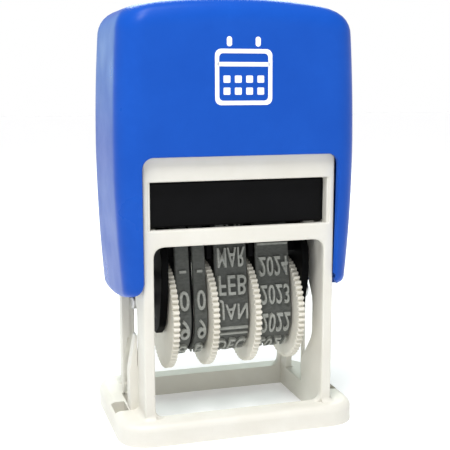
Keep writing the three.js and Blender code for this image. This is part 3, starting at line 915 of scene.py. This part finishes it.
def year_type(*band):
    pitch = 2 * HALF_BELT / len(YEARS)
    parts = []
    for k, year in enumerate(YEARS):
        if year:
            along = FIRST_YEAR_PLACE + pitch * k
            parts.append(raised_type(str(year), *within(*band, "year"), along))
    empty = FIRST_YEAR_PLACE + pitch * YEARS.index(None)
    return parts + [rib(*within(*band, "bar"), empty + step) for step in YEAR_BARS]


TYPE_MAKERS = {
    "day_tens_band": day_type,
    "day_units_band": day_type,
    "month_band": month_type,
    "year_band": year_type,
}


def build_bands():
    for node, ends in BANDS.items():
        band = make(f"{node}_loop", *band_loop(*ends), BAND_GREY, 40)
        place(band, "carriage", "band_rubber", node)
        # The letters take the rubber painted lighter than the band, a painted highlight on their faces and
        # edges.
        letters = make(node.replace("_band", "_type"), *joined(TYPE_MAKERS[node](*ends)), TYPE_GREY_PAINTED_HIGHLIGHT)
        place(letters, "carriage", "band_rubber")


# ---- frame ----

FLANGE = {"x": 22.6, "y": 15.41, "top": 3.9, "corner": 6.5, "edge": 1.3}
TOWER = {"x": 17.9, "y": 12.34, "top": 57.0, "wall": 1.4, "panel": 1.5}
WINDOW = {"x": 16.0, "bottom": 3.93, "top": 35.2, "corner": 2.1}
PAD_SLOT = {"x": 16.89, "bottom": 38.2, "top": 46.63}
DECK_BOTTOM = 46.9
RAIL = {"inner": 15.3, "bottom": 36.6, "top": 38.1}
# Outlines are corners (y or x, z, rounding).
CAM_SLOT = [
    (-0.6, 4.2, 0.3), (8.2, 4.2, 0.3), (7.2, 11, 1), (3.7, 14.6, 1.5), (3.3, 29.2, 1.5),
    (-3.6, 29.2, 1.5), (-3.6, 26, 1), (-5.9, 22.5, 1.5), (-5.9, 15.2, 1.5), (-0.6, 8.8, 1),
]
POCKETS = ((19.7, 22.2, -6.2, -1.2), (17.9, 19.3, -4.8, 3.4))  # beside the right slot: x0, x1, y0, y1
POCKET_FLOOR = 1.2
BUTTRESS = {  # in front of the slot; above 12.2 only its horn is left, outside the cam pin's way
    "y": (-6.1, -3.7),
    "outline": [
        (17.4, 3.4), (19.5, 3.4), (19.5, 11.5, 0.4), (18.3, 18), (17.95, 18), (17.95, 12.2), (17.4, 12.2),
    ],
}
RIB = {  # behind the slot
    "y": (3.4, 4.6),
    "outline": [(18.5, 3.4), (19, 3.4), (19, 45, 0.2), (17.4, 45), (17.4, 15), (17.9, 15), (18.5, 12)],
}
FILLET = 1.0  # between the walls' feet and the base's plate
ROOT = 0.5  # how far an added part reaches into its wall
DECK_POST = [(48.4, 3.3), (53.5, 3.3), (54.0, 2.8)]  # keeps the spring upright: (z, radius)

# Boxes that only cut. Each reaches past what it cuts through.
FAR = 30.0
PLATE_CUT = (-2.0, 6.0)  # the heights of a cut through the base's plate
FOOT_CUT = (3.0, 6.0)  # the heights of a cut through the walls' curved feet
SLOT_CUT_Y = (-6.0, 9.0)  # the part of a side wall's foot that the slot and its pockets take up


def box(x0, y0, z0, x1, y1, z1):
    points = [(x, y, z) for z in (z0, z1) for x, y in ((x0, y0), (x1, y0), (x1, y1), (x0, y1))]
    return points, [(0, 1, 2, 3), (4, 5, 6, 7)] + quads(2, 4)


def flange():
    """The base's plate, rounded along its upper edge and cut flat underneath."""
    outline = rectangle(-FLANGE["x"], -FLANGE["y"], FLANGE["x"], FLANGE["y"], FLANGE["corner"], 14)
    return plate([outline], "z", -FLANGE["edge"], FLANGE["top"], FLANGE["edge"], 4)


def panel(front):
    """The front or rear wall, with the window and the opening for the ink cartridge."""
    outline = rectangle(-TOWER["x"], -1, TOWER["x"], TOWER["top"], 0.5)
    window = rectangle(-WINDOW["x"], WINDOW["bottom"], WINDOW["x"], WINDOW["top"], WINDOW["corner"])
    opening = rectangle(-PAD_SLOT["x"], PAD_SLOT["bottom"], PAD_SLOT["x"], PAD_SLOT["top"], 0.3)
    sign = -1 if front else 1
    low, high = sorted((sign * TOWER["y"], sign * (TOWER["y"] - TOWER["panel"])))
    return plate([outline, window, opening], "y", low, high, 0.35, 3)


def side_wall(sign):
    """A side wall with the slot that the pivot pin and the cam pin run in."""
    deep = TOWER["y"] - 0.3
    outline = rounded([(-deep, -1), (deep, -1), (deep, TOWER["top"], 0.5), (-deep, TOWER["top"], 0.5)])
    low, high = sorted((sign * (TOWER["x"] - TOWER["wall"]), sign * TOWER["x"]))
    return plate([outline, rounded(CAM_SLOT)], "x", low, high, 0.2, 2)


def wall_foot():
    """The hollow curve from the walls' outer faces into the base's plate, as a solid ring."""
    inset, sunk = 0.4, 0.3
    rows = [(-inset, FLANGE["top"] - sunk), (FILLET, FLANGE["top"] - sunk)]
    rows += arc_points((FILLET, FLANGE["top"] + FILLET), FILLET, 270, 180, 5)
    rows.append((-inset, FLANGE["top"] + FILLET))
    points = []
    for grow, z in rows:
        x, y = TOWER["x"] + grow, TOWER["y"] + grow
        points += [(u, v, z) for u, v in rectangle(-x, -y, x, y, 0.8 + max(0, grow))]
    return points, quads(len(rows), len(points) // len(rows), closed_loft=True)


def both_sides(part):
    """A part of the right side and its mirror image on the left."""
    points, faces = part
    return [part, ([(-x, y, z) for x, y, z in points], faces)]


def parts_of(piece):
    """The points and faces of a piece, which is removed."""
    points = [tuple(vertex.co / MM) for vertex in piece.data.vertices]
    faces = [tuple(face.vertices) for face in piece.data.polygons]
    bpy.data.objects.remove(piece)
    return points, faces


def build_frame():
    inside_x, inside_y = TOWER["x"] - TOWER["wall"], TOWER["y"] - TOWER["panel"]
    holes = [box(-inside_x, -inside_y, PLATE_CUT[0], inside_x, inside_y, PLATE_CUT[1])]
    for x0, x1, y0, y1 in POCKETS:
        holes += both_sides(box(x0, y0, POCKET_FLOOR, x1, y1, PLATE_CUT[1]))
    plain = parts_of(combine("frame_plate", flange(), holes, "DIFFERENCE", FRAME_WHITE))
    low, high = FOOT_CUT
    beside_slot = both_sides(box(inside_x, SLOT_CUT_Y[0], low, FAR, SLOT_CUT_Y[1], high))
    in_window = box(-WINDOW["x"], -FAR, low, WINDOW["x"], FAR, high)
    foot = parts_of(combine("frame_foot", wall_foot(), [*beside_slot, in_window], "DIFFERENCE", FRAME_WHITE))
    walls = [panel(True), panel(False), side_wall(-1), side_wall(1), foot]
    root_x, root_y = inside_x + ROOT, inside_y + ROOT
    deck = box(-root_x, -root_y, DECK_BOTTOM, root_x, root_y, DECK_TOP)
    rail = box(RAIL["inner"], -root_y, RAIL["bottom"], root_x, root_y, RAIL["top"])
    ribs = [plate([rounded(part["outline"])], "y", *part["y"], 0.12, 2) for part in (BUTTRESS, RIB)]
    added = walls + [deck] + both_sides(rail) + both_sides(ribs[0]) + both_sides(ribs[1])
    walled = parts_of(combine("frame_walls", plain, added, "UNION", FRAME_WHITE))
    below = box(-FAR, -FAR, -FAR, FAR, FAR, 0)
    body = combine("base_frame_moulded", walled, [below], "DIFFERENCE", FRAME_WHITE)
    place(finish_edges(body), "frame", "frame_plastic", "base_frame")
    add_piece("spring_guide_deck", turned_z(DECK_POST), FRAME_WHITE, "frame", "frame_plastic")


# ---- ink cartridge ----

TRAY = {"x": 16.6, "y": 10.5, "bottom": 38.4, "top": 46.4}
PAD = {"x": 14.1, "y": 8.7, "thickness": 3.7, "gap": 0.3}  # gap: to the tray's pocket


def build_cartridge():
    outline = rectangle(-TRAY["x"], -TRAY["y"], TRAY["x"], TRAY["y"], 0.8)
    block = plate([outline], "z", TRAY["bottom"], TRAY["top"], 0.35, 3)
    x, y = PAD["x"] + PAD["gap"], PAD["y"] + PAD["gap"]
    pocket = box(-x, -y, TRAY["bottom"] - 1, x, y, TRAY["bottom"] + PAD["thickness"] + PAD["gap"])
    tray = combine("ink_tray_moulded", block, [pocket], "DIFFERENCE", TRAY_BLACK)
    place(finish_edges(tray), "cartridge", "tray_plastic", "ink_tray")
    outline = rectangle(-PAD["x"], -PAD["y"], PAD["x"], PAD["y"], 1.2)
    felt_part = plate([outline], "z", TRAY["bottom"], TRAY["bottom"] + PAD["thickness"], 0.6, 4)
    pad = add_piece("ink_pad_felt", felt_part, INKED_FELT, "cartridge", "pad_felt", "ink_pad")


# ---- carriage ----

CHEEKS = {"left": (-13.7, -12.35), "right": (13.55, 14.9)}
CHEEK_HALF = [(2.7, 17.1, 0.4), (5.6, 19.3, 0.8), (8, PIVOT_Z, 1.5), (8, 32.6, 1.5), (4.2, 37.3, 1.2)]
BORE = {"pivot": 1.65, "axle": 1.15}
PIN = {"pivot": 1.5, "cam": 1.5, "cam_stem": 0.9, "axle": 1.0, "pivot_end": 20.6}  # radii, an end in x
PIN_BITE = 0.1  # how far inside its cheek a pin starts
CAM_Z = PIVOT_Z - 4.2
BRIDGE_INSET = 0.2  # from the cheeks' outer faces to the ends of the platen's bar
PLATEN = {"y": 3.3, "bottom": 31.6, "top": 36.45, "corner": 1.3}
COMB_FINS = ((-4.4, -3.35), (3.75, 4.8))  # between the bands: x0, x1
COMB_FIN_HALF = [(5, 31, 0.6), (4.5, 37.4, 1.6)]
DIVIDER = (-7.7, -7.35)
DIVIDER_TIP = [(-4, WHEEL_Z), (0, 11.9, 0.8), (4, WHEEL_Z)]


def mirror_outline(half):
    return rounded(half + [(-u, v, reach) for u, v, reach in reversed(half)])


def build_cheeks():
    for side, (x0, x1) in CHEEKS.items():
        bores = [circle(0, PIVOT_Z, BORE["pivot"]), circle(0, WHEEL_Z, BORE["axle"])]
        part = plate([mirror_outline(CHEEK_HALF)] + bores, "x", x0, x1, 0.18, 2)
        name = f"cheek_{side}"
        add_piece(f"{name}_moulded", part, CARRIAGE_BLACK, "carriage", "carriage_plastic", name)


def build_pins():
    for side, sign in (("left", -1), ("right", 1)):
        inner, outer = sorted(abs(x) for x in CHEEKS[side])
        start = sign * (inner + PIN_BITE)
        stem = pin_x(PIN["cam_stem"], start, sign * (outer + 0.3), CAM_Z, 0.1)
        head = pin_x(PIN["cam"], sign * (outer + 0.15), sign * (TOWER["x"] - 0.2), CAM_Z)
        part, name = joined([stem, head]), f"cam_pin_{side}"
        add_piece(f"{name}_turned", part, PIN_STEEL, "carriage", "pin_steel", name)
        part, name = pin_x(PIN["pivot"], start, sign * PIN["pivot_end"], PIVOT_Z), f"pivot_pin_{side}"
        add_piece(f"{name}_turned", part, PIN_STEEL, "cap", "pin_steel", name)
    part = pin_x(PIN["axle"], CHEEKS["left"][0] + PIN_BITE, CHEEKS["right"][1] - PIN_BITE, WHEEL_Z, 0.15)
    add_piece("wheel_axle_turned", part, PIN_STEEL, "carriage", "pin_steel", "wheel_axle")


def build_bridge():
    bar = rounded([
        (-PLATEN["y"], PLATEN["bottom"], 0.3), (PLATEN["y"], PLATEN["bottom"], 0.3),
        (PLATEN["y"], PLATEN["top"], PLATEN["corner"]), (-PLATEN["y"], PLATEN["top"], PLATEN["corner"]),
    ])
    fin = mirror_outline(COMB_FIN_HALF)
    parts = [plate([fin], "x", *ends, 0.15, 2) for ends in COMB_FINS]
    ends = CHEEKS["left"][0] + BRIDGE_INSET, CHEEKS["right"][1] - BRIDGE_INSET
    bar_part = plate([bar], "x", *ends, 0.15, 2)
    bridge = combine("platen_bridge_moulded", bar_part, parts, "UNION", CARRIAGE_BLACK)
    place(finish_edges(bridge), "carriage", "carriage_plastic", "platen_bridge")


def build_divider():
    """The thin plate between the two day bands, with a pointer at its lower end."""
    steps = 96
    loop = [belt_place(2 * HALF_BELT * k / steps, -0.4) for k in range(steps)]
    body = plate([loop], "x", *DIVIDER, 0.08, 1)
    tip = plate([rounded(DIVIDER_TIP)], "x", *DIVIDER, 0.08, 1)
    divider = combine("day_divider_moulded", body, [tip], "UNION", CARRIAGE_BLACK)
    place(finish_edges(divider), "carriage", "carriage_plastic", "day_divider")


# ---- thumb wheels ----

WHEEL = {"radius": 10.2, "root": 9.55, "teeth": 60, "thickness": 1.25, "hub": 5.9, "hub_root": 0.6}
WHEELS = {  # where the toothed disc starts and where the hub ends, in x
    "day_tens": (-12.05, -7.8),
    "day_units": (-4.5, -7.25),
    "month": (3.65, -3.05),
    "year": (12.15, 5.05),
}


def tooth_outline():
    """The disc's outline: each tooth as shares of the pitch and radii."""
    pitch = 2 * math.pi / WHEEL["teeth"]
    profile = [
        (0.05, WHEEL["root"]), (0.24, WHEEL["radius"] - 0.1), (0.34, WHEEL["radius"]),
        (0.61, WHEEL["radius"]), (0.71, WHEEL["radius"] - 0.1), (0.9, WHEEL["root"]),
    ]
    outline = []
    for tooth in range(WHEEL["teeth"]):
        for share, radius in profile:
            angle = (tooth + share) * pitch
            outline.append((radius * math.cos(angle), WHEEL_Z + radius * math.sin(angle)))
    return outline


def build_wheels():
    for date, (disc, hub_end) in WHEELS.items():
        bore = circle(0, WHEEL_Z, BORE["axle"])
        teeth = plate([tooth_outline(), bore], "x", disc, disc + WHEEL["thickness"], 0.12, 2)
        low, high = sorted((hub_end, disc + WHEEL["hub_root"]))
        hub = plate([circle(0, WHEEL_Z, WHEEL["hub"], 72), bore], "x", low, high, 0.12, 2)
        wheel = combine(f"{date}_wheel_moulded", teeth, [hub], "UNION", WHEEL_IVORY)
        place(finish_edges(wheel), f"{date}_dial", "wheel_plastic", f"{date}_wheel")


build_cap()
build_cap_guide()
build_calendar_mark()
build_spring()
build_bands()
build_frame()
build_cartridge()
build_cheeks()
build_pins()
build_bridge()
build_divider()
build_wheels()


# ---- stage ----

def add_light(kind, name, place_mm, aim_mm, power, size, tint=(1, 1, 1)):
    """A soft light: `size` is a disk's width in millimetres or a sun's angle in degrees."""
    data = bpy.data.lights.new(name, kind)
    data.energy = power
    data.color = tint
    if kind == "SUN":
        data.angle = math.radians(size)
    else:
        data.shape = "DISK"
        data.size = size * MM
    light = bpy.data.objects.new(name, data)
    light.location = Vector(place_mm) * MM
    light.visible_camera = False
    light.rotation_euler = (Vector(aim_mm) - Vector(place_mm)).to_track_quat("-Z", "Y").to_euler()
    scene.collection.objects.link(light)


def build_world():
    """White all round at eye level and dimmer overhead, as in a light tent."""
    world = bpy.data.worlds.new("studio")
    scene.world = world
    world.use_nodes = True
    tree = world.node_tree
    background = tree.nodes["Background"]
    background.inputs["Color"].default_value = (1, 1, 1, 1)
    direction = tree.nodes.new("ShaderNodeTexCoord")
    height = tree.nodes.new("ShaderNodeSeparateXYZ")
    strength = tree.nodes.new("ShaderNodeMapRange")
    for name, value in (("From Min", 0.12), ("From Max", 0.4), ("To Min", 1.0), ("To Max", 0.25)):
        strength.inputs[name].default_value = value
    tree.links.new(direction.outputs["Generated"], height.inputs[0])
    tree.links.new(height.outputs["Z"], strength.inputs["Value"])
    tree.links.new(strength.outputs["Result"], background.inputs["Strength"])


def build_floor():
    nodes = Nodes("paper_floor")
    grain = nodes.noise(3, detail=4)
    nodes.drive(Base_Color=nodes.blend(nodes.spread(grain, 0, 1), srgb(240, 240, 240), srgb(236, 236, 237)))
    nodes.fix(Roughness=0.8, Specular_IOR_Level=0.1, Emission_Color=(1, 1, 1, 1), Emission_Strength=0.24)
    wide = 1500
    corners = [(-wide, -wide, 0), (wide, -wide, 0), (wide, wide, 0), (-wide, wide, 0)]
    make("floor", corners, [(0, 1, 2, 3)], nodes.material, None)


def build_stage():
    """A broad overhead light, a small key light whose glint lies on the cap, and two rims behind."""
    build_world()
    build_floor()
    add_light("SUN", "overhead", (-60, -70, 400), (0, 0, 0), 1.9, 25)
    add_light("AREA", "key", (-70, -125, 235), (0, 0, 50), 0.33, 80)
    add_light("AREA", "rim_left", (-150, 380, 140), (-20, 0, 50), 0.08, 220, (0.4, 1, 0.8))
    add_light("AREA", "rim_back", (120, 420, 330), (0, 0, 70), 1.2, 300, (0.85, 1, 0.93))


build_stage()
scene.view_settings.view_transform = "Standard"
